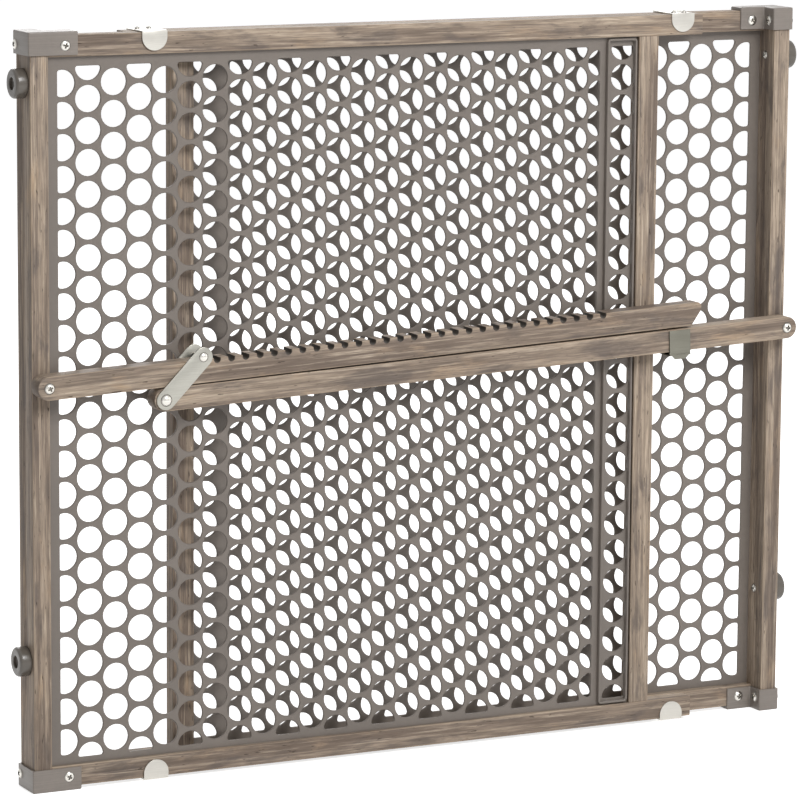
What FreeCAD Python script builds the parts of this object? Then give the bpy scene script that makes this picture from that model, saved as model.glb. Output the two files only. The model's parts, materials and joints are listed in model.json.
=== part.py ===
"""Safety baby gate: two overlapping wooden frames with perforated grilles.

The two frames slide past each other to set the width. A notched lever, a link and a
strut push them apart, and clips wrapped over the rails hold them together.

Millimetres, +Z up, the front of the gate faces -Y, the floor is Z = 0.
"""
import FreeCAD, Part
import math
import os

os.makedirs("parts", exist_ok=True)
V = FreeCAD.Vector
X_AXIS, Y_AXIS, Z_AXIS = V(1, 0, 0), V(0, 1, 0), V(0, 0, 1)

# Overall layout (X = 0 at the left post's outer face, Y = 0 at the front rails' face)
WIDTH = 691.0            # post to post, closed
HEIGHT = 610.0
DEPTH = 30.0             # posts, front to back
ORIGIN_X = WIDTH / 2
ORIGIN_Y = 5.4           # middle of the whole depth, link heads to rear screw heads

# Wooden frame
POST_W = 15.0
RAIL_H = 17.2
RAIL_D = 14.5
RAIL_END = 605.3         # free end of the front rails
STILE_X0, STILE_X1 = 545.0, 563.5
STILE_Y0 = 0.3
CAP_WALL = 3.0           # wood starts this far inside the caps
POST_Z0, POST_Z1 = CAP_WALL, HEIGHT - CAP_WALL
OPEN_Z0, OPEN_Z1 = POST_Z0 + RAIL_H, POST_Z1 - RAIL_H
ARRIS = 0.8
DOWEL_R, DOWEL_L = 3.0, 20.0

# Perforated grille
SHEET_Y, SHEET_T = 4.3, 2.0
GROOVE = 4.0
PITCH_Z = 25.25
PITCH_X = 21.87
HOLE_R = 10.75
COLUMNS = 24
ROWS = 22
FIRST_COLUMN_X = 28.5
D_CUT = 4.0              # flat of the D-shaped holes, left of their centre
HALF_CUT = 0.7           # flat of the half holes, beyond their centre
LIFT = -1.5              # perforation's middle above the frame's middle
CORNER_R = 2.0
TRAY_X0, TRAY_X1 = 515.4, 543.4
TRAY_Z0, TRAY_Z1 = 21.5, 588.5
TRAY_WALL = 1.8
TRAY_Y = 0.5
TRAY_R = 3.0

# Plastic corner caps
CAP_H = 18.7
CAP_OUT = 2.0            # beyond the post's outer face
CAP_LAP = 1.5            # beyond the front and back faces
CAP_STEP = 17.0          # the full-depth part ends here
CAP_END = 40.0
CAP_EDGE = 1.2
CAP_SCREW_X = 29.0
CAP_SCREW_Z = 598.8
CAP_SCREW_SIDE_Y = 26.6
CAP_SCREW_STEP_Y = 23.0

# Bumpers
BUMPER_R, BUMPER_T = 12.0, 10.0
BUMPER_RECESS_R, BUMPER_RECESS_T = 5.0, 3.0
BUMPER_ZS = (106.0, 569.0)

# Rail clips
CLIP_W = 21.5
CLIP_T = 1.1
CLIP_TAB = 14.5
CLIP_GAP = 0.4           # running gap to the other frame's rail
CLIP_FROM_END = 19.4
CLIP_SCREW_DX = 5.0

# Lever and strut
ARM_BACK, ARM_T = -2.0, 16.0
ARM_FRONT = ARM_BACK - ARM_T
PIVOT_A = V(7.5, 0, 331.0)
PIVOT_B = V(683.5, 0, 338.5)
LINK_L = V(106.5, 0, 315.3)
LEVER_SLOPE = 0.042
LEVER_H, LEVER_REACH = 19.0, 592.0
STRUT_H = 18.5
NOTCH_FIRST, NOTCH_PITCH, NOTCH_COUNT = 132.0, 12.6, 30
NOTCH_W, NOTCH_DEPTH = 5.8, 4.2
PIVOT_R, PIVOT_FIT = 2.5, 0.05
PLAY = 0.35              # side play between moving pieces

# Link
PIN_R = 1.75
PIN_OVER_EDGE = 0.35     # notch pin standing just over the teeth
RIVET_R = 2.5
LINK_PLATE_W, LINK_PLATE_T = 12.0, 1.5

# Lock clip on the strut
LOCK_AT = 461.5          # start of the clip, along the strut from the link rivet
LOCK_W, LOCK_T = 20.0, 1.2


def box(x0, x1, y0, y1, z0, z1):
    return Part.makeBox(x1 - x0, y1 - y0, z1 - z0, V(x0, y0, z0))


def rod(radius, start, end):
    return Part.makeCylinder(radius, (end - start).Length, start, end - start)


def softened(shape, radius, direction):
    """Round the straight edges that run along one direction."""
    edges = [e for e in shape.Edges if e.Curve.TypeId == "Part::GeomLine"
             and abs(abs(e.tangentAt(e.FirstParameter).dot(direction)) - 1) < 1e-6]
    return shape.makeFillet(radius, edges)


def screw(seat, inward, head_r, head_h, shank_r, length, across=0.22):
    """Domed cross-head screw: the head stands on its seat, the shank runs inward."""
    outward = inward * -1
    sphere_r = (head_r ** 2 + head_h ** 2) / (2 * head_h)
    ball = Part.makeSphere(sphere_r, seat + outward * (head_h - sphere_r))
    head = ball.common(rod(head_r + 1, seat, seat + outward * (head_h + 1)))
    side = outward.cross(Z_AXIS if abs(outward.z) < 0.5 else X_AXIS)
    up = outward.cross(side)
    blade_w, blade_l, blade_d = head_r * across, head_r * 0.62, head_h * 0.55
    for a, b in ((side, up), (up, side)):
        corner = seat + outward * (head_h - blade_d)
        points = [corner + a * (i * blade_l) + b * (j * blade_w / 2)
                  for i, j in ((-1, -1), (1, -1), (1, 1), (-1, 1))]
        slot = Part.Face(Part.makePolygon(points + points[:1])).extrude(outward * (blade_d + 1))
        head = head.cut(slot)
    return head.fuse(rod(shank_r, seat, seat + inward * length)).removeSplitter()


# ---------------------------------------------------------------- one frame
def hole_edges(x, z, cut=None):
    """Closed outline of one hole: full circle, or cut flat with rounded corners.

    cut is (direction, distance): the part beyond the distance is left out.
    """
    centre = V(x, SHEET_Y, z)
    if cut is None:
        return [Part.Circle(centre, Y_AXIS, HOLE_R).toShape()]
    out, dist = cut
    side = V(-out.z, 0, out.x)
    inner = dist - CORNER_R
    spread = math.sqrt((HOLE_R - CORNER_R) ** 2 - inner ** 2)
    scale = HOLE_R / (HOLE_R - CORNER_R)
    on_arc = [centre + (out * inner + side * (s * spread)) * scale for s in (-1, 1)]
    on_flat = [centre + out * dist + side * (s * spread) for s in (-1, 1)]
    corner = [centre + out * inner + side * (s * spread) for s in (-1, 1)]
    middle = [c + ((a - c) + (f - c)).normalize() * CORNER_R
              for a, c, f in zip(on_arc, corner, on_flat)]
    return [Part.Arc(on_arc[0], centre - out * HOLE_R, on_arc[1]).toShape(),
            Part.Arc(on_arc[1], middle[1], on_flat[1]).toShape(),
            Part.makeLine(on_flat[1], on_flat[0]),
            Part.Arc(on_flat[0], middle[0], on_arc[0]).toShape()]


def hole_wires():
    """Every opening of the staggered perforation."""
    wires = []
    middle = HEIGHT / 2 + LIFT
    top = middle + PITCH_Z * (ROWS - 1) / 2
    for column in range(COLUMNS):
        x = FIRST_COLUMN_X + column * PITCH_X
        shifted = column % 2
        rows = ROWS - 1 if shifted else ROWS
        cut = None
        if column == 0:
            cut = (X_AXIS * -1, D_CUT)
        elif column == COLUMNS - 2:
            cut = (X_AXIS, 0.0)
        for row in range(rows):
            z = top - (row + shifted / 2) * PITCH_Z
            wires.append(Part.Wire(hole_edges(x, z, cut)))
        if shifted and column < COLUMNS - 1:
            edge = top + PITCH_Z / 2
            for z, out in ((edge, Z_AXIS), (2 * middle - edge, Z_AXIS * -1)):
                wires.append(Part.Wire(hole_edges(x, z, (out, HALF_CUT))))
    return wires


def make_grille():
    x0, x1 = POST_W - GROOVE, STILE_X0 + GROOVE
    z0, z1 = OPEN_Z0 - GROOVE, OPEN_Z1 + GROOVE
    corners = [V(x0, SHEET_Y, z0), V(x1, SHEET_Y, z0), V(x1, SHEET_Y, z1), V(x0, SHEET_Y, z1)]
    outline = Part.makePolygon(corners + corners[:1])
    face = Part.Face([outline] + hole_wires())
    if not face.isValid():
        face.fix(1e-4, 1e-4, 1e-3)
    sheet = face.extrude(Y_AXIS * SHEET_T)
    if sheet.Volume < 0:
        sheet.reverse()
    ring = softened(box(TRAY_X0, TRAY_X1, TRAY_Y, SHEET_Y, TRAY_Z0, TRAY_Z1), TRAY_R, Y_AXIS)
    inside = box(TRAY_X0 + TRAY_WALL, TRAY_X1 - TRAY_WALL, TRAY_Y, SHEET_Y,
                 TRAY_Z0 + TRAY_WALL, TRAY_Z1 - TRAY_WALL)
    inside = softened(inside, TRAY_R - TRAY_WALL, Y_AXIS)
    return sheet.fuse(ring.cut(inside))


def groove_cutter():
    return box(POST_W - GROOVE, STILE_X0 + GROOVE, SHEET_Y, SHEET_Y + SHEET_T,
               OPEN_Z0 - GROOVE, OPEN_Z1 + GROOVE)


def make_dowels():
    dowels = []
    y = RAIL_D / 2
    for z in (POST_Z0 + RAIL_H / 2, POST_Z1 - RAIL_H / 2):
        dowels.append(rod(DOWEL_R, V(POST_W - DOWEL_L / 2, y, z), V(POST_W + DOWEL_L / 2, y, z)))
    x = (STILE_X0 + GROOVE + STILE_X1) / 2
    for z in (OPEN_Z0, OPEN_Z1):
        dowels.append(rod(DOWEL_R, V(x, y, z - DOWEL_L / 2), V(x, y, z + DOWEL_L / 2)))
    return dowels


def upside_down(shape):
    """Same thing at the bottom of the gate."""
    return shape.mirror(V(0, 0, HEIGHT / 2), Z_AXIS)


def make_cap():
    z0, z1 = HEIGHT - CAP_H, HEIGHT
    back = DEPTH + CAP_LAP
    rail_back = RAIL_D + CAP_LAP
    points = [(-CAP_OUT, -CAP_LAP), (CAP_END, -CAP_LAP), (CAP_END, rail_back),
              (CAP_STEP, rail_back), (CAP_STEP, back), (-CAP_OUT, back)]
    wire = Part.makePolygon([V(x, y, z0) for x, y in points + points[:1]])
    shell = softened(Part.Face(wire).extrude(Z_AXIS * CAP_H), CAP_EDGE, Z_AXIS)
    top = [e for e in shell.Edges if abs(e.BoundBox.ZMin - z1) < 1e-6]
    shell = shell.makeFillet(CAP_EDGE, top)
    return shell.cut(box(0, POST_W, 0, DEPTH, z0, POST_Z1)).cut(
        box(0, CAP_END, 0, RAIL_D, z0, POST_Z1))


def make_cap_screws():
    z = CAP_SCREW_Z
    size = dict(head_r=4.4, head_h=1.8, shank_r=1.5, length=7.5)
    return [screw(V(CAP_SCREW_X, -CAP_LAP, z), Y_AXIS, **size),
            screw(V(CAP_SCREW_X, RAIL_D + CAP_LAP, z), Y_AXIS * -1, **size),
            screw(V(-CAP_OUT, CAP_SCREW_SIDE_Y, z), X_AXIS, **size),
            screw(V(CAP_STEP, CAP_SCREW_STEP_Y, z), X_AXIS * -1, **size)]


def make_bumper(z):
    y = DEPTH / 2
    disc = rod(BUMPER_R, V(-BUMPER_T, y, z), V(0, y, z))
    rim = [e for e in disc.Edges if abs(e.BoundBox.XMax + BUMPER_T) < 1e-6]
    disc = disc.makeFillet(2.5, rim)
    return disc.cut(rod(BUMPER_RECESS_R, V(-BUMPER_T, y, z),
                        V(-BUMPER_T + BUMPER_RECESS_T, y, z)))


def make_bumper_screws():
    return [screw(V(POST_W, DEPTH / 2, z), X_AXIS * -1, 3.8, 1.8, 1.9, POST_W + 5.0)
            for z in BUMPER_ZS]


def make_clip():
    """Steel strip over both top rails, with a round-ended tab down each face."""
    z_own, z_other = POST_Z1, POST_Z1 + CLIP_GAP
    tip = POST_Z1 - CLIP_TAB
    back = DEPTH + CLIP_GAP
    join = DEPTH / 2
    points = [(-CLIP_T, tip), (0, tip), (0, z_own), (join - 0.5, z_own), (join + 0.5, z_other),
              (back, z_other), (back, tip), (back + CLIP_T, tip), (back + CLIP_T, z_other + CLIP_T),
              (join + 0.5, z_other + CLIP_T), (join - 0.5, z_own + CLIP_T), (-CLIP_T, z_own + CLIP_T)]
    x = RAIL_END - CLIP_FROM_END
    start = x - CLIP_W / 2
    wire = Part.makePolygon([V(start, y, z) for y, z in points + points[:1]])
    strip = Part.Face(wire).extrude(X_AXIS * CLIP_W)
    radius = CLIP_W / 2
    keep = rod(radius, V(x, -5, tip + radius), V(x, back + 5, tip + radius))
    keep = keep.fuse(box(start, start + CLIP_W, -5, back + 5, tip + radius, HEIGHT + 1))
    return strip.common(keep).removeSplitter()


def make_clip_screws():
    x = RAIL_END - CLIP_FROM_END
    seat = POST_Z1 + CLIP_T
    return [screw(V(x + dx, RAIL_D / 2, seat), Z_AXIS * -1, 2.2, HEIGHT - seat, 1.2, 9.0)
            for dx in (-CLIP_SCREW_DX, CLIP_SCREW_DX)]


def make_frame():
    """All pieces of one frame, keyed by name."""
    dowels = make_dowels()
    cap_screws = make_cap_screws()
    cap_screws += [upside_down(s) for s in cap_screws]
    bumper_screws = make_bumper_screws()
    clip_screws = make_clip_screws()
    clip_screws += [upside_down(s) for s in clip_screws]
    fixings = dowels + cap_screws + bumper_screws + clip_screws
    groove = groove_cutter()

    post = softened(box(0, POST_W, 0, DEPTH, POST_Z0, POST_Z1), ARRIS, Z_AXIS)
    rail = softened(box(POST_W, RAIL_END, 0, RAIL_D, OPEN_Z1, POST_Z1), ARRIS, X_AXIS)
    stile = softened(box(STILE_X0, STILE_X1, STILE_Y0, RAIL_D, OPEN_Z0, OPEN_Z1), ARRIS, Z_AXIS)
    cap = make_cap()
    top_clip = make_clip()
    bumpers = {"bottom_bumper": BUMPER_ZS[0], "top_bumper": BUMPER_ZS[1]}

    pieces = {
        "post": post.cut([groove] + fixings),
        "top_rail": rail.cut([groove] + fixings),
        "bottom_rail": upside_down(rail).cut([groove] + fixings),
        "stile": stile.cut([groove] + fixings),
        "grille": make_grille(),
        "top_cap": cap.cut(cap_screws),
        "bottom_cap": upside_down(cap).cut(cap_screws),
        "top_clip": top_clip.cut(clip_screws),
        "bottom_clip": upside_down(top_clip).cut(clip_screws),
        "frame_dowels": Part.makeCompound(dowels),
        "cap_screws": Part.makeCompound(cap_screws),
        "bumper_screws": Part.makeCompound(bumper_screws),
        "clip_screws": Part.makeCompound(clip_screws),
    }
    for name, z in bumpers.items():
        pieces[name] = make_bumper(z).cut(bumper_screws)
    return pieces


# ---------------------------------------------------------------- arms
def arm_frame(pivot, direction):
    """Turn a piece drawn along +X at the origin onto an arm."""
    angle = math.degrees(math.atan2(direction.z, direction.x))
    place = FreeCAD.Placement(V(pivot.x, 0, pivot.z), FreeCAD.Rotation(V(0, -1, 0), angle))

    def put(shape):
        shape = shape.copy()
        shape.Placement = place.multiply(shape.Placement)
        return shape
    return put


def bar(points, back, thickness):
    wire = Part.makePolygon([V(x, back, z) for x, z in points + points[:1]])
    return Part.Face(wire).extrude(Y_AXIS * -thickness)


def make_lever():
    half = LEVER_H / 2
    outline = [(0, -half), (LEVER_REACH - 10, -half), (LEVER_REACH, half - 6),
               (LEVER_REACH, half - 2), (LEVER_REACH - 2, half), (0, half)]
    shape = bar(outline, ARM_BACK, ARM_T)
    shape = shape.fuse(rod(half, V(0, ARM_BACK, 0), V(0, ARM_FRONT, 0))).removeSplitter()
    cutters = [rod(PIVOT_R + PIVOT_FIT, V(0, ARM_BACK + 1, 0), V(0, ARM_FRONT - 1, 0))]
    for i in range(NOTCH_COUNT):
        x = NOTCH_FIRST + i * NOTCH_PITCH
        radius = NOTCH_W / 2
        bottom = half - NOTCH_DEPTH + radius
        cutters.append(rod(radius, V(x, ARM_BACK + 1, bottom), V(x, ARM_FRONT - 1, bottom)))
        cutters.append(box(x - radius, x + radius, ARM_FRONT - 1, ARM_BACK + 1, bottom, half + 1))
    return shape.cut(cutters)


def make_strut():
    """Drawn from the link rivet at the origin to the pivot screw on the other post."""
    half = STRUT_H / 2
    length = (PIVOT_B - LINK_L).Length
    shape = bar([(0, -half), (length, -half), (length, half), (0, half)], ARM_BACK, ARM_T)
    ends = [rod(half, V(x, ARM_BACK, 0), V(x, ARM_FRONT, 0)) for x in (0, length)]
    shape = shape.multiFuse(ends).removeSplitter()
    holes = [rod(r + PIVOT_FIT, V(x, ARM_BACK + 1, 0), V(x, ARM_FRONT - 1, 0))
             for x, r in ((0, RIVET_R), (length, PIVOT_R))]
    return shape.cut(holes)


def make_pivot_screw(at, shank_r):
    """Flat-headed screw with its shank through the arm into the post."""
    seat = V(at.x, ARM_FRONT - PLAY, at.z)
    return screw(seat, Y_AXIS, 4.5, 2.2, shank_r, ARM_T + PLAY - ARM_BACK + 14.0)


def make_washer(at):
    disc = rod(6.0, V(at.x, ARM_BACK + PLAY, at.z), V(at.x, 0, at.z))
    return disc.cut(rod(PIVOT_R + 0.4, V(at.x, ARM_BACK, at.z), V(at.x, 0, at.z)))


def link_plate(upper, y):
    """Round-ended steel plate from the lower rivet to the notch pin."""
    lower = V(LINK_L.x, y, LINK_L.z)
    upper = V(upper.x, y, upper.z)
    along = (upper - lower).normalize()
    side = V(-along.z, 0, along.x) * (LINK_PLATE_W / 2)
    points = [lower - side, upper - side, upper + side, lower + side]
    plate = Part.Face(Part.makePolygon(points + points[:1])).extrude(Y_AXIS * -LINK_PLATE_T)
    ends = [rod(LINK_PLATE_W / 2, p, p - Y_AXIS * LINK_PLATE_T) for p in (lower, upper)]
    return plate.multiFuse(ends).removeSplitter()


def rivet(at, radius, front, back, head_front, head_back, head_r):
    """Pin across the link with a domed head at each end."""
    shape = rod(radius, V(at.x, front, at.z), V(at.x, back, at.z))
    for y, h, out in ((front, head_front, -1), (back, head_back, 1)):
        seat = V(at.x, y, at.z)
        ball_r = (head_r ** 2 + h ** 2) / (2 * h)
        ball = Part.makeSphere(ball_r, seat + Y_AXIS * out * (h - ball_r))
        shape = shape.fuse(ball.common(rod(head_r + 1, seat, seat + Y_AXIS * out * (h + 1))))
    return shape.removeSplitter()


def make_link(lever_direction):
    """Two plates, the notch pin over the lever and the rivet through the strut."""
    up = V(-lever_direction.z, 0, lever_direction.x)
    height = LEVER_H / 2 + PIN_OVER_EDGE + PIN_R
    notch_pin = PIVOT_A + lever_direction * NOTCH_FIRST + up * height
    back = ARM_BACK + PLAY
    front = ARM_FRONT - PLAY
    outer_back, outer_front = back + LINK_PLATE_T, front - LINK_PLATE_T
    pin = rivet(notch_pin, PIN_R, outer_front, outer_back, 1.8, 1.2, 4.0)
    lower = rivet(LINK_L, RIVET_R, outer_front, outer_back, 2.65, 1.75, 5.0)
    plates = {"link_front_plate": link_plate(notch_pin, front),
              "link_rear_plate": link_plate(notch_pin, outer_back)}
    pieces = {name: plate.cut([pin, lower]) for name, plate in plates.items()}
    pieces["link_notch_pin"] = pin
    pieces["link_lower_rivet"] = lower
    return pieces


def make_lock_clip():
    """Folded steel keeper on the strut; its back plate rises behind the lever."""
    half = STRUT_H / 2
    front_in, back_in = ARM_FRONT - PLAY, ARM_BACK + PLAY
    front_out, back_out = front_in - LOCK_T, back_in + LOCK_T
    bottom_in = -half - PLAY
    bottom_out = bottom_in - LOCK_T
    back_top = half + 23.5
    x0, x1 = LOCK_AT, LOCK_AT + LOCK_W
    front = box(x0, x1, front_out, front_in, bottom_out, half - 0.5)
    fold = box(x0, x1, front_out, back_out, bottom_out, bottom_in)
    back = box(x0, x1, back_in, back_out, bottom_out, back_top)
    tab = bar([(x0 + 1, bottom_out - 5), (x1 - 4, bottom_out - 5), (x1, bottom_out - 2),
               (x1, bottom_out), (x0 - 1, bottom_out)], front_in, LOCK_T)
    hole = rod(1.6, V(x0 + LOCK_W / 2, back_in - 1, back_top - 4),
               V(x0 + LOCK_W / 2, back_out + 1, back_top - 4))
    return front.multiFuse([fold, back, tab]).removeSplitter().cut(hole)


def main():
    lever_direction = V(1, 0, LEVER_SLOPE).normalize()
    strut_direction = (PIVOT_B - LINK_L).normalize()
    on_lever = arm_frame(PIVOT_A, lever_direction)
    on_strut = arm_frame(LINK_L, strut_direction)

    pieces = {"front_" + name: shape for name, shape in make_frame().items()}
    for name, shape in make_frame().items():
        shape.rotate(V(WIDTH / 2, DEPTH / 2, 0), Z_AXIS, 180)
        pieces["rear_" + name] = shape
    pieces.update(make_link(lever_direction))
    pieces["notched_lever"] = on_lever(make_lever())
    pieces["strut"] = on_strut(make_strut())
    pieces["lock_clip"] = on_strut(make_lock_clip())
    for arm, post, pivot in (("lever", "front_post", PIVOT_A), ("strut", "rear_post", PIVOT_B)):
        pieces[arm + "_pivot_screw"] = make_pivot_screw(pivot, PIVOT_R)
        pieces[post] = pieces[post].cut(pieces[arm + "_pivot_screw"])
    pieces["lever_washer"] = make_washer(PIVOT_A)
    pieces["strut_washer"] = make_washer(PIVOT_B)

    for name, shape in pieces.items():
        shape.translate(V(-ORIGIN_X, -ORIGIN_Y, 0))
        if not shape.isValid():
            raise ValueError(name + " is not a valid solid")
        shape.exportStep(os.path.join("parts", name + ".step"))


main()
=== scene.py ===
import bpy
import bmesh
import json
import math
from mathutils import Matrix, Vector

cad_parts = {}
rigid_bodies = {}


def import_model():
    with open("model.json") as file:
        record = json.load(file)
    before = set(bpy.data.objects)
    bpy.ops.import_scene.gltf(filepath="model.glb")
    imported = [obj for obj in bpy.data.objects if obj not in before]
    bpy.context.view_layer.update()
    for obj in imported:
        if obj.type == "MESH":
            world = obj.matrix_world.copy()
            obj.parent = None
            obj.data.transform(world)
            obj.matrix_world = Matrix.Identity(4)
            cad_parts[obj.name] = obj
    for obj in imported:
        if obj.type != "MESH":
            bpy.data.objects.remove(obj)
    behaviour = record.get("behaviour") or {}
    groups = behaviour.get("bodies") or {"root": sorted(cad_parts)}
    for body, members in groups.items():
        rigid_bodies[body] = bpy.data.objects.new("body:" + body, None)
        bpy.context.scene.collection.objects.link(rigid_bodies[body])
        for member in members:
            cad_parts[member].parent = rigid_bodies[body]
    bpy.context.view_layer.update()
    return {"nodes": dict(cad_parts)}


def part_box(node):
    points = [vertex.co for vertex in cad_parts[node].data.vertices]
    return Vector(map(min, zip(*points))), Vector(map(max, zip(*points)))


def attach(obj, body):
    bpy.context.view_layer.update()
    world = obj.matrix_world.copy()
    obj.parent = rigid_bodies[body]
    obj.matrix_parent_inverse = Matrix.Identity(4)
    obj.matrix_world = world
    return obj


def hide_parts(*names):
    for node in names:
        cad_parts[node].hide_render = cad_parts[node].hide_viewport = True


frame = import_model()
MM = 0.001

# The perforated grille, in millimetres
PITCH_X, PITCH_Z = 21.87, 25.25         # between columns and between rows of holes
COLUMNS, ROWS = 24, 22
HOLE_R, CORNER_R = 10.75, 2.0           # a hole, and the corners of a cut hole
D_CUT, HALF_CUT, FLAT_CUT = 4.0, 0.7, 0.0   # from a cut hole's centre to its flat side
LIFT = -1.5                             # of the holes from the sheet's mid height
SHEET_T, RIM = 2.0, 0.45                # thickness, and the bevel round each hole
SHEET_EDGE_TO_COLUMN = 17.5
TRAY_CENTRE = 518.4                     # from the sheet's outer edge
TRAY_WIDTH, TRAY_HEIGHT = 28.0, 567.0
TRAY_WALL, TRAY_R, TRAY_LIP = 1.8, 3.0, 0.5

# How the pieces lie: turn about Y that brings their length onto X
UPRIGHT, LEVEL = math.pi / 2, 0.0
LEVER_TURN = math.atan(0.042)
STRUT_TURN = math.atan2(23.2, 577.0)    # rise over run from its rivet to its screw

# Eased edges and other sizes, in metres
WOOD_EASE, CAP_EASE, BUMPER_EASE = 0.0006, 0.0008, 0.0006
CLIP_EASE, LINK_EASE = 0.0002, 0.0003
LINK_END_R = 0.008
WELD = 2e-6                             # corners closer than this are one
SHARP = math.radians(40)                # edges steeper than this stay crisp


# ------------------------------------------------------------------ node helpers
def link(tree, source, target):
    tree.links.new(source, target)


def math_node(tree, operation, a, b=None, c=None):
    node = tree.nodes.new("ShaderNodeMath")
    node.operation = operation
    for socket, value in zip(node.inputs, (a, b, c)):
        if value is None:
            continue
        if isinstance(value, (int, float)):
            socket.default_value = value
        else:
            link(tree, value, socket)
    return node.outputs[0]


def map_range(tree, value, low, high, to_low=0.0, to_high=1.0, smooth=False):
    node = tree.nodes.new("ShaderNodeMapRange")
    node.interpolation_type = "SMOOTHSTEP" if smooth else "LINEAR"
    link(tree, value, node.inputs["Value"])
    limits = {"From Min": low, "From Max": high, "To Min": to_low, "To Max": to_high}
    for name, limit in limits.items():
        if isinstance(limit, (int, float)):
            node.inputs[name].default_value = limit
        else:
            link(tree, limit, node.inputs[name])
    return node.outputs["Result"]


def noise(tree, vector, scale=1.0, detail=4.0, rough=0.5, distortion=0.0):
    node = tree.nodes.new("ShaderNodeTexNoise")
    link(tree, vector, node.inputs["Vector"])
    node.inputs["Scale"].default_value = scale
    node.inputs["Detail"].default_value = detail
    node.inputs["Roughness"].default_value = rough
    node.inputs["Distortion"].default_value = distortion
    return node.outputs["Fac"]


def stretched(tree, vector, x, y, z):
    node = tree.nodes.new("ShaderNodeVectorMath")
    node.operation = "MULTIPLY"
    link(tree, vector, node.inputs[0])
    node.inputs[1].default_value = (x, y, z)
    return node.outputs[0]


def mix_colour(tree, factor, a, b):
    node = tree.nodes.new("ShaderNodeMix")
    node.data_type = "RGBA"
    for socket, value in ((node.inputs[0], factor), (node.inputs[6], a), (node.inputs[7], b)):
        if isinstance(value, (int, float, tuple)):
            socket.default_value = value
        else:
            link(tree, value, socket)
    return node.outputs[2]


def srgb(r, g, b):
    """A screen colour, 0 to 255 each, as linear RGBA."""
    def lin(v):
        v /= 255
        return v / 12.92 if v <= 0.04045 else ((v + 0.055) / 1.055) ** 2.4

    return (lin(r), lin(g), lin(b), 1.0)


def new_group(name, inputs, outputs):
    group = bpy.data.node_groups.new(name, "ShaderNodeTree")
    for label, kind, value in inputs:
        socket = group.interface.new_socket(label, in_out="INPUT", socket_type=kind)
        if value is not None:
            socket.default_value = value
    for label, kind in outputs:
        group.interface.new_socket(label, in_out="OUTPUT", socket_type=kind)
    return group, group.nodes.new("NodeGroupInput"), group.nodes.new("NodeGroupOutput")


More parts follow.
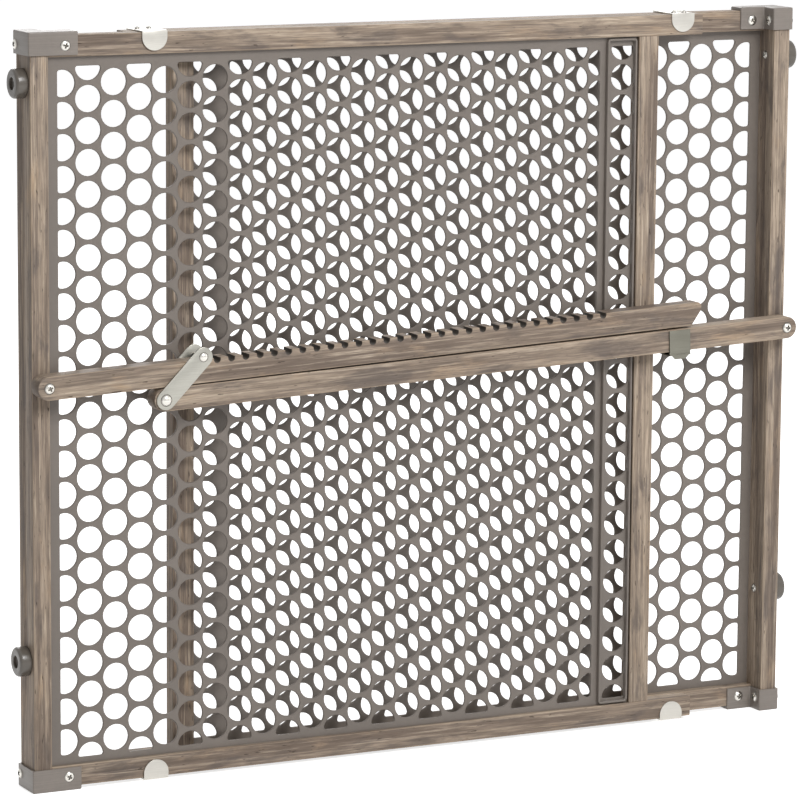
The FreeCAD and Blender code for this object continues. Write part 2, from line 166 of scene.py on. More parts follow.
# ------------------------------------------------------------------ shared effects
def weathered_grain_group():
    """Long grey-brown grain along X of its vector: rings, stains, pores and worn arrises."""
    group, gin, gout = new_group(
        "weathered_grain",
        [("Vector", "NodeSocketVector", None), ("Across", "NodeSocketVector", None),
         ("Half Y", "NodeSocketFloat", 0.009), ("Half Z", "NodeSocketFloat", 0.009),
         ("End", "NodeSocketFloat", 0.0)],
        [("Color", "NodeSocketColor"), ("Roughness", "NodeSocketFloat"),
         ("Height", "NodeSocketFloat")])
    vec = gin.outputs["Vector"]
    # growth rings round an axis that wanders beside the piece
    wander = noise(group, stretched(group, vec, 4, 18, 18), 1, 3, 0.5)
    place = group.nodes.new("ShaderNodeSeparateXYZ")
    link(group, vec, place.inputs[0])
    off_y = math_node(group, "MULTIPLY_ADD", wander, 0.022, place.outputs[1])
    off_z = math_node(group, "MULTIPLY_ADD", wander, -0.014, place.outputs[2])
    reach = math_node(group, "SQRT", math_node(
        group, "ADD", math_node(group, "MULTIPLY", off_y, off_y),
        math_node(group, "MULTIPLY", off_z, off_z)))
    ring = math_node(group, "SINE", math_node(group, "MULTIPLY", reach, 1650.0))
    bands = noise(group, stretched(group, vec, 3.0, 70, 70), 1, 5, 0.55, 0.5)
    streaks = noise(group, stretched(group, vec, 13, 470, 470), 1, 6, 0.66, 0.15)
    fibre = noise(group, stretched(group, vec, 55, 1050, 1050), 1, 3, 0.6)
    patches = noise(group, stretched(group, vec, 17, 60, 60), 1, 5, 0.6, 0.3)
    base = mix_colour(group, map_range(group, bands, 0.38, 0.62, smooth=True),
                      srgb(128, 113, 101), srgb(184, 166, 147))
    ringed = mix_colour(group, map_range(group, ring, 0.0, 1.0, 0, 0.32), base,
                        srgb(108, 95, 85))
    warm = mix_colour(group, map_range(group, patches, 0.42, 0.28, 0, 0.75), ringed,
                      srgb(190, 164, 136))
    dark = mix_colour(group, map_range(group, streaks, 0.52, 0.67, 0, 0.72), warm,
                      srgb(98, 87, 80))
    pale = mix_colour(group, map_range(group, streaks, 0.47, 0.33, 0, 0.75), dark,
                      srgb(208, 191, 171))
    stain = math_node(group, "MULTIPLY", map_range(group, patches, 0.53, 0.63, 0, 0.75),
                      map_range(group, streaks, 0.32, 0.58, 0.4, 1.0))
    stained = mix_colour(group, stain, pale, srgb(100, 92, 88))
    fine = mix_colour(group, map_range(group, fibre, 0.38, 0.66, 0, 0.5), stained,
                      srgb(100, 88, 78))
    specks = noise(group, stretched(group, vec, 90, 560, 560), 1, 2, 0.5)
    pores = map_range(group, specks, 0.68, 0.73, 0, 0.85)
    fine = mix_colour(group, pores, fine, srgb(70, 60, 52))
    # worn, paler arrises: distance from the nearest long edge
    split = group.nodes.new("ShaderNodeSeparateXYZ")
    link(group, gin.outputs["Across"], split.inputs[0])
    dy = math_node(group, "SUBTRACT", gin.outputs["Half Y"],
                   math_node(group, "ABSOLUTE", split.outputs[1]))
    dz = math_node(group, "SUBTRACT", gin.outputs["Half Z"],
                   math_node(group, "ABSOLUTE", split.outputs[2]))
    edge = math_node(group, "MAXIMUM", dy, dz)
    ragged = math_node(group, "MULTIPLY_ADD", patches, 0.0035, -0.0008)
    worn = map_range(group, edge, ragged, 0.0, 0, 0.42)
    worn_colour = mix_colour(group, worn, fine, srgb(206, 184, 158))
    end = mix_colour(group, gin.outputs["End"], worn_colour, srgb(96, 83, 72))
    link(group, end, gout.inputs["Color"])
    link(group, map_range(group, streaks, 0.3, 0.7, 0.64, 0.52), gout.inputs["Roughness"])
    height = math_node(group, "MULTIPLY_ADD", fibre, -0.5,
                       math_node(group, "MULTIPLY", streaks, -0.8))
    height = math_node(group, "MULTIPLY_ADD", pores, -1.0, height)
    link(group, height, gout.inputs["Height"])
    return group


def moulded_surface_group():
    """Very fine moulded texture, with faint level flow lines where Lines is above nought."""
    group, gin, gout = new_group(
        "moulded_surface",
        [("Vector", "NodeSocketVector", None), ("Color", "NodeSocketColor", None),
         ("Roughness", "NodeSocketFloat", 0.5), ("Lines", "NodeSocketFloat", 0.0)],
        [("Color", "NodeSocketColor"), ("Roughness", "NodeSocketFloat"),
         ("Height", "NodeSocketFloat")])
    vec = gin.outputs["Vector"]
    broad = noise(group, vec, 14, 3, 0.5)
    grainy = noise(group, vec, 1500, 2, 0.5)
    dust = noise(group, vec, 260, 4, 0.6)
    tone = map_range(group, broad, 0.35, 0.65, 0.94, 1.05)
    tone = math_node(group, "MULTIPLY", tone, map_range(group, dust, 0.3, 0.7, 0.97, 1.03))
    layers = noise(group, stretched(group, vec, 12, 12, 1100), 1, 2, 0.6)
    lines = math_node(group, "MULTIPLY", map_range(group, layers, 0.35, 0.65, -1.0, 1.0),
                      gin.outputs["Lines"])
    tone = math_node(group, "MULTIPLY", tone, math_node(group, "ADD", lines, 1.0))
    scale = group.nodes.new("ShaderNodeVectorMath")
    scale.operation = "SCALE"
    link(group, gin.outputs["Color"], scale.inputs[0])
    link(group, tone, scale.inputs["Scale"])
    link(group, scale.outputs[0], gout.inputs["Color"])
    link(group, math_node(group, "MULTIPLY_ADD", dust, 0.16,
                          math_node(group, "SUBTRACT", gin.outputs["Roughness"], 0.08)),
         gout.inputs["Roughness"])
    link(group, grainy, gout.inputs["Height"])
    return group


def rolled_steel_group():
    """Nickel finish with fine rolling lines along X and small scuffs."""
    group, gin, gout = new_group(
        "rolled_steel",
        [("Vector", "NodeSocketVector", None), ("Color", "NodeSocketColor", None),
         ("Roughness", "NodeSocketFloat", 0.3)],
        [("Color", "NodeSocketColor"), ("Roughness", "NodeSocketFloat"),
         ("Height", "NodeSocketFloat")])
    vec = gin.outputs["Vector"]
    lines = noise(group, stretched(group, vec, 40, 2600, 2600), 1, 3, 0.6)
    smudge = noise(group, vec, 60, 4, 0.55)
    tone = map_range(group, lines, 0.3, 0.7, 0.9, 1.06)
    scale = group.nodes.new("ShaderNodeVectorMath")
    scale.operation = "SCALE"
    link(group, gin.outputs["Color"], scale.inputs[0])
    link(group, tone, scale.inputs["Scale"])
    link(group, scale.outputs[0], gout.inputs["Color"])
    rough = math_node(group, "MULTIPLY_ADD", smudge, 0.25,
                      math_node(group, "SUBTRACT", gin.outputs["Roughness"], 0.12))
    link(group, rough, gout.inputs["Roughness"])
    link(group, lines, gout.inputs["Height"])
    return group


GRAIN = weathered_grain_group()
MOULDED = moulded_surface_group()
ROLLED = rolled_steel_group()


# ------------------------------------------------------------------ materials
def new_material(name):
    material = bpy.data.materials.new(name)
    material.use_nodes = True
    tree = material.node_tree
    return material, tree, tree.nodes["Principled BSDF"]


def add_bump(tree, shader, height, depth):
    bump = tree.nodes.new("ShaderNodeBump")
    bump.inputs["Strength"].default_value = 1.0
    bump.inputs["Distance"].default_value = depth
    link(tree, height, bump.inputs["Height"])
    link(tree, bump.outputs[0], shader.inputs["Normal"])


def wood_material(name, lo, hi, turn):
    """turn brings the grain direction onto X; lo and hi bound the piece once turned."""
    material, tree, shader = new_material(name)
    coords = tree.nodes.new("ShaderNodeTexCoord")
    mapping = tree.nodes.new("ShaderNodeMapping")
    mapping.vector_type = "POINT"
    mapping.inputs["Rotation"].default_value = (0, turn, 0)
    mapping.inputs["Location"].default_value = -(lo + hi) / 2
    link(tree, coords.outputs["Object"], mapping.inputs["Vector"])
    shift = tree.nodes.new("ShaderNodeVectorMath")
    shift.operation = "ADD"
    link(tree, mapping.outputs[0], shift.inputs[0])
    seed = sum(ord(c) * (i + 3) for i, c in enumerate(name))
    shift.inputs[1].default_value = (seed % 17 * 1.7, seed % 23 * 0.31, seed % 31 * 0.27)
    normal = tree.nodes.new("ShaderNodeMapping")
    normal.vector_type = "NORMAL"
    normal.inputs["Rotation"].default_value = (0, turn, 0)
    link(tree, coords.outputs["Normal"], normal.inputs["Vector"])
    split = tree.nodes.new("ShaderNodeSeparateXYZ")
    link(tree, normal.outputs[0], split.inputs[0])
    end = map_range(tree, math_node(tree, "ABSOLUTE", split.outputs[0]), 0.6, 0.85, 0, 0.8)
    grain = tree.nodes.new("ShaderNodeGroup")
    grain.node_tree = GRAIN
    link(tree, shift.outputs[0], grain.inputs["Vector"])
    link(tree, mapping.outputs[0], grain.inputs["Across"])
    grain.inputs["Half Y"].default_value = (hi.y - lo.y) / 2
    grain.inputs["Half Z"].default_value = (hi.z - lo.z) / 2
    link(tree, end, grain.inputs["End"])
    # painted shade in the notches: a dark grey mixed in where the attribute is set
    painted_notch_shade = tree.nodes.new("ShaderNodeAttribute")
    painted_notch_shade.attribute_name = "painted_notch_shade"
    colour = mix_colour(tree, math_node(tree, "MULTIPLY", painted_notch_shade.outputs["Fac"], 0.75),
                        grain.outputs["Color"], srgb(60, 58, 55))
    link(tree, colour, shader.inputs["Base Color"])
    link(tree, grain.outputs["Roughness"], shader.inputs["Roughness"])
    shader.inputs["Specular IOR Level"].default_value = 0.22
    add_bump(tree, shader, grain.outputs["Height"], depth=0.00012)
    return material


def surface_material(name, group, colour, rough, bump, metallic=0, rim=False, lines=None):
    """Plastic or steel; rim paints shade on the edge of screw heads and on the floor of their
    recess, lines sets moulding lines.
    """
    material, tree, shader = new_material(name)
    coords = tree.nodes.new("ShaderNodeTexCoord")
    effect = tree.nodes.new("ShaderNodeGroup")
    effect.node_tree = group
    link(tree, coords.outputs["Object"], effect.inputs["Vector"])
    effect.inputs["Color"].default_value = colour
    effect.inputs["Roughness"].default_value = rough
    if lines:
        effect.inputs["Lines"].default_value = lines
    colour_out = effect.outputs["Color"]
    if rim:
        # painted shade: the attribute rim darkens the head towards its edge and on the floor of
        # its recess
        painted_rim_shade = tree.nodes.new("ShaderNodeAttribute")
        painted_rim_shade.attribute_name = "rim"
        amount = map_range(tree, painted_rim_shade.outputs["Fac"], 0.72, 0.97, 0, 0.85)
        colour_out = mix_colour(tree, amount, colour_out, srgb(62, 56, 50))
    link(tree, colour_out, shader.inputs["Base Color"])
    link(tree, effect.outputs["Roughness"], shader.inputs["Roughness"])
    shader.inputs["Metallic"].default_value = metallic
    add_bump(tree, shader, effect.outputs["Height"], bump)
    return material


def plastic(name, colour, rough, bump=0.00002, lines=None):
    return surface_material(name, MOULDED, colour, rough, bump, lines=lines)


def steel(name, colour, rough, bump=0.000008, rim=False):
    return surface_material(name, ROLLED, colour, rough, bump, metallic=1, rim=rim)


GRILLE_PLASTIC = plastic("grille_plastic", srgb(118, 110, 103), 0.45)
CAP_PLASTIC = plastic("cap_plastic", srgb(130, 122, 115), 0.36, 0.00003, lines=0.07)
BUMPER_PLASTIC = plastic("bumper_plastic", srgb(95, 89, 82), 0.24)
WASHER_PLASTIC = plastic("washer_plastic", srgb(60, 56, 52), 0.5, 0.00003)
CLIP_STEEL = steel("clip_steel", srgb(192, 189, 182), 0.36)
LINK_STEEL = steel("link_steel", srgb(167, 165, 157), 0.34)
LOCK_STEEL = steel("lock_steel", srgb(119, 117, 107), 0.4)
# rim=True paints shade on the head's edge and in its recess
SCREW_STEEL = steel("screw_steel", srgb(214, 211, 204), 0.24, 0.000006, rim=True)


# ------------------------------------------------------------------ building pieces
def add_piece(name, mesh, material, body, slot_name, *nodes):
    obj = bpy.data.objects.new(name, mesh)
    bpy.context.scene.collection.objects.link(obj)
    mesh.materials.clear()
    mesh.materials.append(material)
    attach(obj, body)
    if nodes:
        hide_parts(*nodes)
    return obj


def extent(points):
    """Lowest and highest corner of some points."""
    lo = Vector([min(p[i] for p in points) for i in range(3)])
    hi = Vector([max(p[i] for p in points) for i in range(3)])
    return lo, hi


def merged_copy(node):
    """The CAD node's mesh as one welded skin with its flat faces joined up."""
    mesh = frame["nodes"][node].data.copy()
    bm = bmesh.new()
    bm.from_mesh(mesh)
    bmesh.ops.remove_doubles(bm, verts=bm.verts, dist=WELD)
    bmesh.ops.dissolve_limit(bm, angle_limit=math.radians(0.5), verts=bm.verts, edges=bm.edges)
    bm.to_mesh(mesh)
    bm.free()
    return mesh


def eased(mesh, width, segments=2, angle=32, cutter=None):
    """The mesh with its sharp edges eased, after a cutter has been taken out of it."""
    obj = bpy.data.objects.new("unfinished", mesh)
    bpy.context.scene.collection.objects.link(obj)
    if cutter:
        cut = obj.modifiers.new("cut", "BOOLEAN")
        cut.operation, cut.solver, cut.object = "DIFFERENCE", "EXACT", cutter
        cut.use_self = True
    bevel = obj.modifiers.new("ease", "BEVEL")
    bevel.width = width
    bevel.segments = segments
    bevel.limit_method = "ANGLE"
    bevel.angle_limit = math.radians(angle)
    bevel.harden_normals = False
    depsgraph = bpy.context.evaluated_depsgraph_get()
    made = bpy.data.meshes.new_from_object(obj.evaluated_get(depsgraph))
    bpy.data.objects.remove(obj)
    made.polygons.foreach_set("use_smooth", [True] * len(made.polygons))
    made.set_sharp_from_angle(angle=SHARP)
    return made


def eased_mesh(node, width, segments=2, angle=32):
    """A copy of a CAD node with its sharp edges eased."""
    return eased(merged_copy(node), width, segments, angle)


def prism(bm, outline, start, end, place):
    """Closed prism over an outline; place turns (u, v, depth) into a position."""
    near = [bm.verts.new(place(u, v, start)) for u, v in outline]
    far = [bm.verts.new(place(u, v, end)) for u, v in outline]
    bm.faces.new(near)
    bm.faces.new(far[::-1])
    for i in range(len(near)):
        j = (i + 1) % len(near)
        bm.faces.new((near[j], near[i], far[i], far[j]))


def closed_mesh(name, bm):
    bmesh.ops.recalc_face_normals(bm, faces=bm.faces)
    mesh = bpy.data.meshes.new(name)
    bm.to_mesh(mesh)
    bm.free()
    return mesh


def turned_box(mesh, turn):
    """Bounds of a mesh after turning it about Y, as the grain mapping does."""
    spin = Matrix.Rotation(turn, 3, "Y")
    return extent([spin @ v.co for v in mesh.vertices])


def mark_notches(mesh, turn, lo, hi):
    """Store 1 on the walls of the notches as an attribute; the wood material paints shade there.
    """
    spin = Matrix.Rotation(turn, 3, "Y")
    pivot_end, free_end, under, over = 0.03, 0.05, 0.0005, 0.0006   # left out of the marking
    marks = []
    for face in mesh.polygons:
        centre, normal = spin @ face.center, spin @ face.normal
        marks.append(float(abs(normal.y) < 0.5 and lo.z + under < centre.z < hi.z - over
                           and lo.x + pivot_end < centre.x < hi.x - free_end))
    mesh.attributes.new("painted_notch_shade", "FLOAT", "FACE").data.foreach_set("value", marks)


def make_wood():
    turns = {"post": UPRIGHT, "stile": UPRIGHT, "top_rail": LEVEL, "bottom_rail": LEVEL}
    pieces = [(side + "_" + part, side + "_panel", turn)
              for side in ("front", "rear") for part, turn in turns.items()]
    pieces += [("notched_lever", "lever", LEVER_TURN), ("strut", "strut", STRUT_TURN)]
    for node, body, turn in pieces:
        mesh = eased_mesh(node, WOOD_EASE)
        lo, hi = turned_box(mesh, turn)
        # the lever's notches get painted shade
        if node == "notched_lever":
            mark_notches(mesh, turn, lo, hi)
        material = wood_material("wood_" + node, lo, hi, turn)
        add_piece(node + "_wood", mesh, material, body, "wood", node)


def set_cad_material(nodes, material):
    for node in nodes:
        obj = frame["nodes"][node]
        obj.data.materials.clear()
        obj.data.materials.append(material)


# ------------------------------------------------------------------ perforated grille
def arc_points(cx, cy, radius, start, end, count):
    return [(cx + radius * math.cos(start + (end - start) * i / count),
             cy + radius * math.sin(start + (end - start) * i / count))
            for i in range(count + 1)]


def hole_outline(cut=None, direction=0.0):
    """Outline of a hole grown by its rim; cut flat at a distance beyond its centre."""
    radius = HOLE_R + RIM
    if cut is None:
        return arc_points(0, 0, radius, 0, 2 * math.pi, 24)[:-1]
    cut, corner = cut + RIM, CORNER_R + RIM
    inner = cut - corner
    spread = math.sqrt((radius - corner) ** 2 - inner ** 2)
    turn = math.atan2(spread, inner)
    points = arc_points(0, 0, radius, turn, 2 * math.pi - turn, 16)
    points += arc_points(inner, -spread, corner, -turn, 0, 4)[1:]
    points += arc_points(inner, spread, corner, 0, turn, 4)[:-1]
    c, s = math.cos(direction), math.sin(direction)
    return [(x * c - y * s, x * s + y * c) for x, y in points]


def curve_object(name, points, cyclic=True):
    curve = bpy.data.curves.new(name, "CURVE")
    curve.dimensions = "3D"
    spline = curve.splines.new("POLY")
    spline.points.add(len(points) - 1)
    for point, (x, y) in zip(spline.points, points):
        point.co = (x * MM, y * MM, 0, 1)
    spline.use_cyclic_u = cyclic
    return bpy.data.objects.new(name, curve)


class GeometryTree:
    """Writes a geometry node tree and runs it."""

    def __init__(self, name, inputs):
        self.tree = bpy.data.node_groups.new(name, "GeometryNodeTree")
        self.ids = {}
        for label, kind in inputs:
            socket = self.tree.interface.new_socket(label, in_out="INPUT", socket_type=kind)
            self.ids[label] = socket.identifier
        self.tree.interface.new_socket("Geometry", in_out="OUTPUT",
                                       socket_type="NodeSocketGeometry")
        self.inputs = self.tree.nodes.new("NodeGroupInput")
        self.output = self.tree.nodes.new("NodeGroupOutput")

    def value(self, label):
        return self.inputs.outputs[label]

    def add(self, kind, settings=None, **values):
        node = self.tree.nodes.new(kind)
        for key, setting in (settings or {}).items():
            setattr(node, key, setting)
        for key, value in values.items():
            self.feed(node.inputs[key.replace("_", " ").strip()], value)
        return node

    def feed(self, socket, value):
        if isinstance(value, bpy.types.NodeSocket):
            self.tree.links.new(value, socket)
        else:
            socket.default_value = value

    def math(self, operation, *values):
        node = self.tree.nodes.new("ShaderNodeMath")
        node.operation = operation
        for socket, value in zip(node.inputs, values):
            self.feed(socket, value)
        return node.outputs[0]

    def vector(self, x=0.0, y=0.0, z=0.0):
        node = self.tree.nodes.new("ShaderNodeCombineXYZ")
        for socket, value in zip(node.inputs, (x, y, z)):
            self.feed(socket, value)
        return node.outputs[0]

    def join(self, *geometry):
        node = self.tree.nodes.new("GeometryNodeJoinGeometry")
        for socket in geometry:
            self.tree.links.new(socket, node.inputs[0])
        return node.outputs[0]

    def finish(self, geometry):
        """Last nodes of every tree: plain geometry with its material."""
        realised = self.add("GeometryNodeRealizeInstances", Geometry=geometry).outputs[0]
        done = self.add("GeometryNodeSetMaterial", Geometry=realised,
                        Material=self.value("Material"))
        self.feed(self.output.inputs[0], done.outputs[0])

    def mesh_from(self, name, source, values):
        """Run the tree on an object and return the plain mesh it makes."""
        obj = bpy.data.objects.new(name, source)
        bpy.context.scene.collection.objects.link(obj)
        modifier = obj.modifiers.new("build", "NODES")
        modifier.node_group = self.tree
        for label, value in values.items():
            modifier[self.ids[label]] = value
        depsgraph = bpy.context.evaluated_depsgraph_get()
        mesh = bpy.data.meshes.new_from_object(obj.evaluated_get(depsgraph))
        bpy.data.objects.remove(obj)
        return mesh


def hole_points(tree):
    """Staggered points for the holes, each with its kind of hole stored on it.

    Kinds, in the order of the outlines: 0 round, 1 flat to the left, 2 flat to the right,
    3 flat above, 4 flat below. Even columns have one hole fewer than odd ones.
    """
    rows = tree.math("ADD", tree.value("Rows"), 1)
    columns = tree.value("Columns")
    index = tree.add("GeometryNodeInputIndex").outputs[0]
    column = tree.math("FLOOR", tree.math("DIVIDE", tree.math("ADD", index, 0.5), rows))
    row = tree.math("SUBTRACT", index, tree.math("MULTIPLY", column, rows))
    odd = tree.math("MODULO", column, 2.0)
    first = tree.math("LESS_THAN", row, 0.5)
    last = tree.math("GREATER_THAN", row, tree.math("SUBTRACT", rows, 1.5))
    left = tree.math("LESS_THAN", column, 0.5)
    right = tree.math("COMPARE", column, tree.math("SUBTRACT", columns, 2.0), 0.5)
    ends = tree.math("MULTIPLY", odd, tree.math("ADD", tree.math("MULTIPLY", first, 3.0),
                                                tree.math("MULTIPLY", last, 4.0)))
    kind = tree.math("ADD", tree.math("ADD", left, tree.math("MULTIPLY", right, 2.0)), ends)
    missing = tree.math("MULTIPLY", tree.math("SUBTRACT", 1.0, odd), last)

    x = tree.math("MULTIPLY_ADD", column, tree.value("Pitch X"), tree.value("First Column"))
    half_rows = tree.math("MULTIPLY", tree.math("SUBTRACT", tree.value("Rows"), 1.0), 0.5)
    half_height = tree.math("MULTIPLY", tree.value("Pitch Z"), half_rows)
    top = tree.math("ADD", half_height, tree.value("Lift"))
    step = tree.math("SUBTRACT", row, tree.math("MULTIPLY", odd, 0.5))
    y = tree.math("SUBTRACT", top, tree.math("MULTIPLY", tree.value("Pitch Z"), step))

    points = tree.add("GeometryNodePoints", Count=tree.math("MULTIPLY", rows, columns),
                      Position=tree.vector(x, y)).outputs[0]
    # stored before any point goes, because the kind is worked out from the index
    stored = tree.add("GeometryNodeStoreNamedAttribute", {"data_type": "INT", "domain": "POINT"},
                      Geometry=points, Name="kind", Value=kind).outputs[0]
    return tree.add("GeometryNodeDeleteGeometry", {"domain": "POINT"}, Geometry=stored,
                    Selection=missing).outputs[0]


def hole_curves(tree):
    """The outline of every hole as curves."""
    shapes = tree.add("GeometryNodeCollectionInfo", Collection=tree.value("Outlines"),
                      Separate_Children=True, Reset_Children=True)
    kind = tree.add("GeometryNodeInputNamedAttribute", {"data_type": "INT"}, Name="kind")
    holes = tree.add("GeometryNodeInstanceOnPoints", Points=hole_points(tree),
                     Instance=shapes.outputs[0], Pick_Instance=True,
                     Instance_Index=kind.outputs["Attribute"])
    return tree.add("GeometryNodeRealizeInstances", Geometry=holes.outputs[0]).outputs[0]


def perforated_sheet_tree():
    """A sheet in the XY plane with cut holes, bevelled hole walls and a plain border."""
    tree = GeometryTree("perforated_sheet", [
        ("Columns", "NodeSocketInt"), ("Rows", "NodeSocketInt"),
        ("Pitch X", "NodeSocketFloat"), ("Pitch Z", "NodeSocketFloat"),
        ("Thickness", "NodeSocketFloat"), ("Width", "NodeSocketFloat"),
        ("Height", "NodeSocketFloat"), ("First Column", "NodeSocketFloat"),
        ("Lift", "NodeSocketFloat"),
        ("Outlines", "NodeSocketCollection"), ("Rim", "NodeSocketObject"),
        ("Material", "NodeSocketMaterial")])

    def moved(geometry, x=0.0, z=0.0):
        return tree.add("GeometryNodeTransform", Geometry=geometry,
                        Translation=tree.vector(x, 0.0, z)).outputs[0]

    def swept(curve, profile):
        upright = tree.add("GeometryNodeSetCurveNormal", {"mode": "Z_UP"}, Curve=curve)
        return tree.add("GeometryNodeCurveToMesh", Curve=upright.outputs[0],
                        Profile_Curve=profile).outputs[0]

    half = tree.math("MULTIPLY", tree.value("Thickness"), 0.5)
    minus_half = tree.math("MULTIPLY", half, -1.0)
    curves = hole_curves(tree)
    oblong = tree.add("GeometryNodeCurvePrimitiveQuadrilateral",
                      Width=tree.value("Width"), Height=tree.value("Height")).outputs[0]
    outer = moved(oblong, x=tree.math("MULTIPLY", tree.value("Width"), 0.5))
    filled = tree.add("GeometryNodeFillCurve", Curve=tree.join(outer, curves)).outputs[0]
    front = moved(filled, z=half)
    back = tree.add("GeometryNodeFlipFaces", Mesh=moved(filled, z=minus_half)).outputs[0]
    profile = tree.add("GeometryNodeObjectInfo", Object=tree.value("Rim"))
    walls = swept(curves, profile.outputs["Geometry"])
    line = tree.add("GeometryNodeCurvePrimitiveLine", Start=tree.vector(0.0, half),
                    End=tree.vector(0.0, minus_half)).outputs[0]
    whole = tree.join(front, back, walls, swept(outer, line))
    welded = tree.add("GeometryNodeMergeByDistance", Geometry=whole, Distance=0.00002).outputs[0]
    tree.finish(welded)
    return tree


def sharpen_flats(mesh):
    """Smooth shading round the rims; the faces that look along Y stay flat."""
    bm = bmesh.new()
    bm.from_mesh(mesh)
    bmesh.ops.recalc_face_normals(bm, faces=bm.faces)
    for face in bm.faces:
        face.smooth = True
    for edge in bm.edges:
        flats = [abs(face.normal.y) > 0.999 for face in edge.link_faces]
        edge.smooth = not (any(flats) and not all(flats))
    bm.to_mesh(mesh)
    bm.free()


def tray_ring(bm, centre_x, x_sign, y_front, y_sheet, z_mid):
    """Shallow moulded wall round the end strip, with a rounded lip."""
    wall, lip, radius = TRAY_WALL * MM, TRAY_LIP * MM, TRAY_R * MM
    half_width, half_height = TRAY_WIDTH * MM / 2 - radius, TRAY_HEIGHT * MM / 2 - radius
    depth = abs(y_sheet - y_front)
    toward = 1 if y_sheet > y_front else -1
    low, soft = depth - lip, lip * 0.3
    section = [(0, 0), (0, low), (soft, depth - soft), (lip, depth), (wall - lip, depth),
               (wall - soft, depth - soft), (wall, low), (wall, 0)]
    corners = ((1, 1, 0), (-1, 1, 90), (-1, -1, 180), (1, -1, 270))
    steps, step = 7, 15
    path = []
    for side_x, side_z, start in corners:
        for i in range(steps):
            angle = math.radians(start + i * step)
            path.append((side_x * half_width, side_z * half_height,
                         math.cos(angle), math.sin(angle)))
    rings = []
    for inset, rise in section:
        out = radius - inset
        rings.append([bm.verts.new((centre_x + x_sign * (px + dx * out),
                                    y_sheet - toward * rise, z_mid + pz + dz * out))
                      for px, pz, dx, dz in path])
    for a, b in zip(rings, rings[1:] + rings[:1]):
        for i in range(len(a)):
            j = (i + 1) % len(a)
            bm.faces.new((a[i], a[j], b[j], b[i]))


def make_grilles():
    outlines = bpy.data.collections.new("hole_outlines")
    shapes = [("a_round", hole_outline()), ("b_left", hole_outline(D_CUT, math.pi)),
              ("c_right", hole_outline(FLAT_CUT, 0.0)),
              ("d_top", hole_outline(HALF_CUT, math.pi / 2)),
              ("e_bottom", hole_outline(HALF_CUT, -math.pi / 2))]
    made = [curve_object(name, points) for name, points in shapes]
    for obj in made:
        outlines.objects.link(obj)
    half = SHEET_T / 2
    # the wall of a hole, from its front edge inward and out again to its back edge
    wall = [(0, half), (-RIM, half - RIM), (-RIM, RIM - half), (0, -half)]
    rim = curve_object("rim", wall, False)
    tree = perforated_sheet_tree()
    for side, sign, turn in (("front", 1, 0), ("rear", -1, math.pi)):
        node = side + "_grille"
        lo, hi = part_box(node)
        edge_x, free_y, sheet_face = (lo.x, lo.y, hi.y) if sign > 0 else (hi.x, hi.y, lo.y)
        mid_z = (lo.z + hi.z) / 2
        mesh = tree.mesh_from(node + "_tmp", bpy.data.meshes.new("empty"), {
            "Columns": COLUMNS, "Rows": ROWS, "Pitch X": PITCH_X * MM, "Pitch Z": PITCH_Z * MM,
            "Thickness": SHEET_T * MM, "Width": hi.x - lo.x, "Height": hi.z - lo.z,
            "First Column": SHEET_EDGE_TO_COLUMN * MM, "Lift": LIFT * MM,
            "Outlines": outlines, "Rim": rim, "Material": GRILLE_PLASTIC})
        # the sheet lies in XY: stand it up, then turn the rear one about
        sheet_y = sheet_face - sign * half * MM
        place = Matrix.Translation((edge_x, sheet_y, mid_z))
        mesh.transform(place @ Matrix.Rotation(turn, 4, "Z") @ Matrix.Rotation(UPRIGHT, 4, "X"))
        bm = bmesh.new()
        bm.from_mesh(mesh)
        tray_ring(bm, edge_x + sign * TRAY_CENTRE * MM, sign, free_y, sheet_y, mid_z)
        bm.to_mesh(mesh)
        bm.free()
        sharpen_flats(mesh)
        add_piece(node + "_sheet", mesh, GRILLE_PLASTIC, side + "_panel", "grille_plastic", node)
    for obj in made + [rim]:
        bpy.data.objects.remove(obj)
    bpy.data.collections.remove(outlines)


# ------------------------------------------------------------------ other pieces
def make_plastics():
    for side in ("front", "rear"):
        for level in ("top", "bottom"):
            for part, width, material in (("cap", CAP_EASE, CAP_PLASTIC),
                                          ("bumper", BUMPER_EASE, BUMPER_PLASTIC)):
                node = "%s_%s_%s" % (side, level, part)
                mesh = eased_mesh(node, width, segments=3, angle=50)
                add_piece(node + "_moulding", mesh, material, side + "_panel",
                          part + "_plastic", node)


def make_clips():
    for side in ("front", "rear"):
        for level in ("top", "bottom"):
            node = "%s_%s_clip" % (side, level)
            mesh = eased_mesh(node, CLIP_EASE, segments=2, angle=30)
            add_piece(node + "_steel", mesh, CLIP_STEEL, side + "_panel", "link_steel", node)


def make_link_plates():
    """Two flat bars with round ends, joined by the notch pin and the lower rivet."""
    ends = []
    for node in ("link_lower_rivet", "link_notch_pin"):
        lo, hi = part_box(node)
        ends.append(Vector(((lo.x + hi.x) / 2, (lo.z + hi.z) / 2)))
    low, high = ends
    along = math.atan2(high.y - low.y, high.x - low.x)
    outline = [(centre.x + LINK_END_R * math.cos(a), centre.y + LINK_END_R * math.sin(a))
               for centre, start in ((high, along - math.pi / 2), (low, along + math.pi / 2))
               for a in (start + math.pi * i / 14 for i in range(15))]
    for node in ("link_front_plate", "link_rear_plate"):
        lo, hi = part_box(node)
        bm = bmesh.new()
        prism(bm, outline, lo.y, hi.y, lambda u, v, depth: (u, depth, v))
        mesh = eased(closed_mesh(node, bm), LINK_EASE, segments=2, angle=50)
        add_piece(node + "_steel", mesh, LINK_STEEL, "link", "link_steel", node)


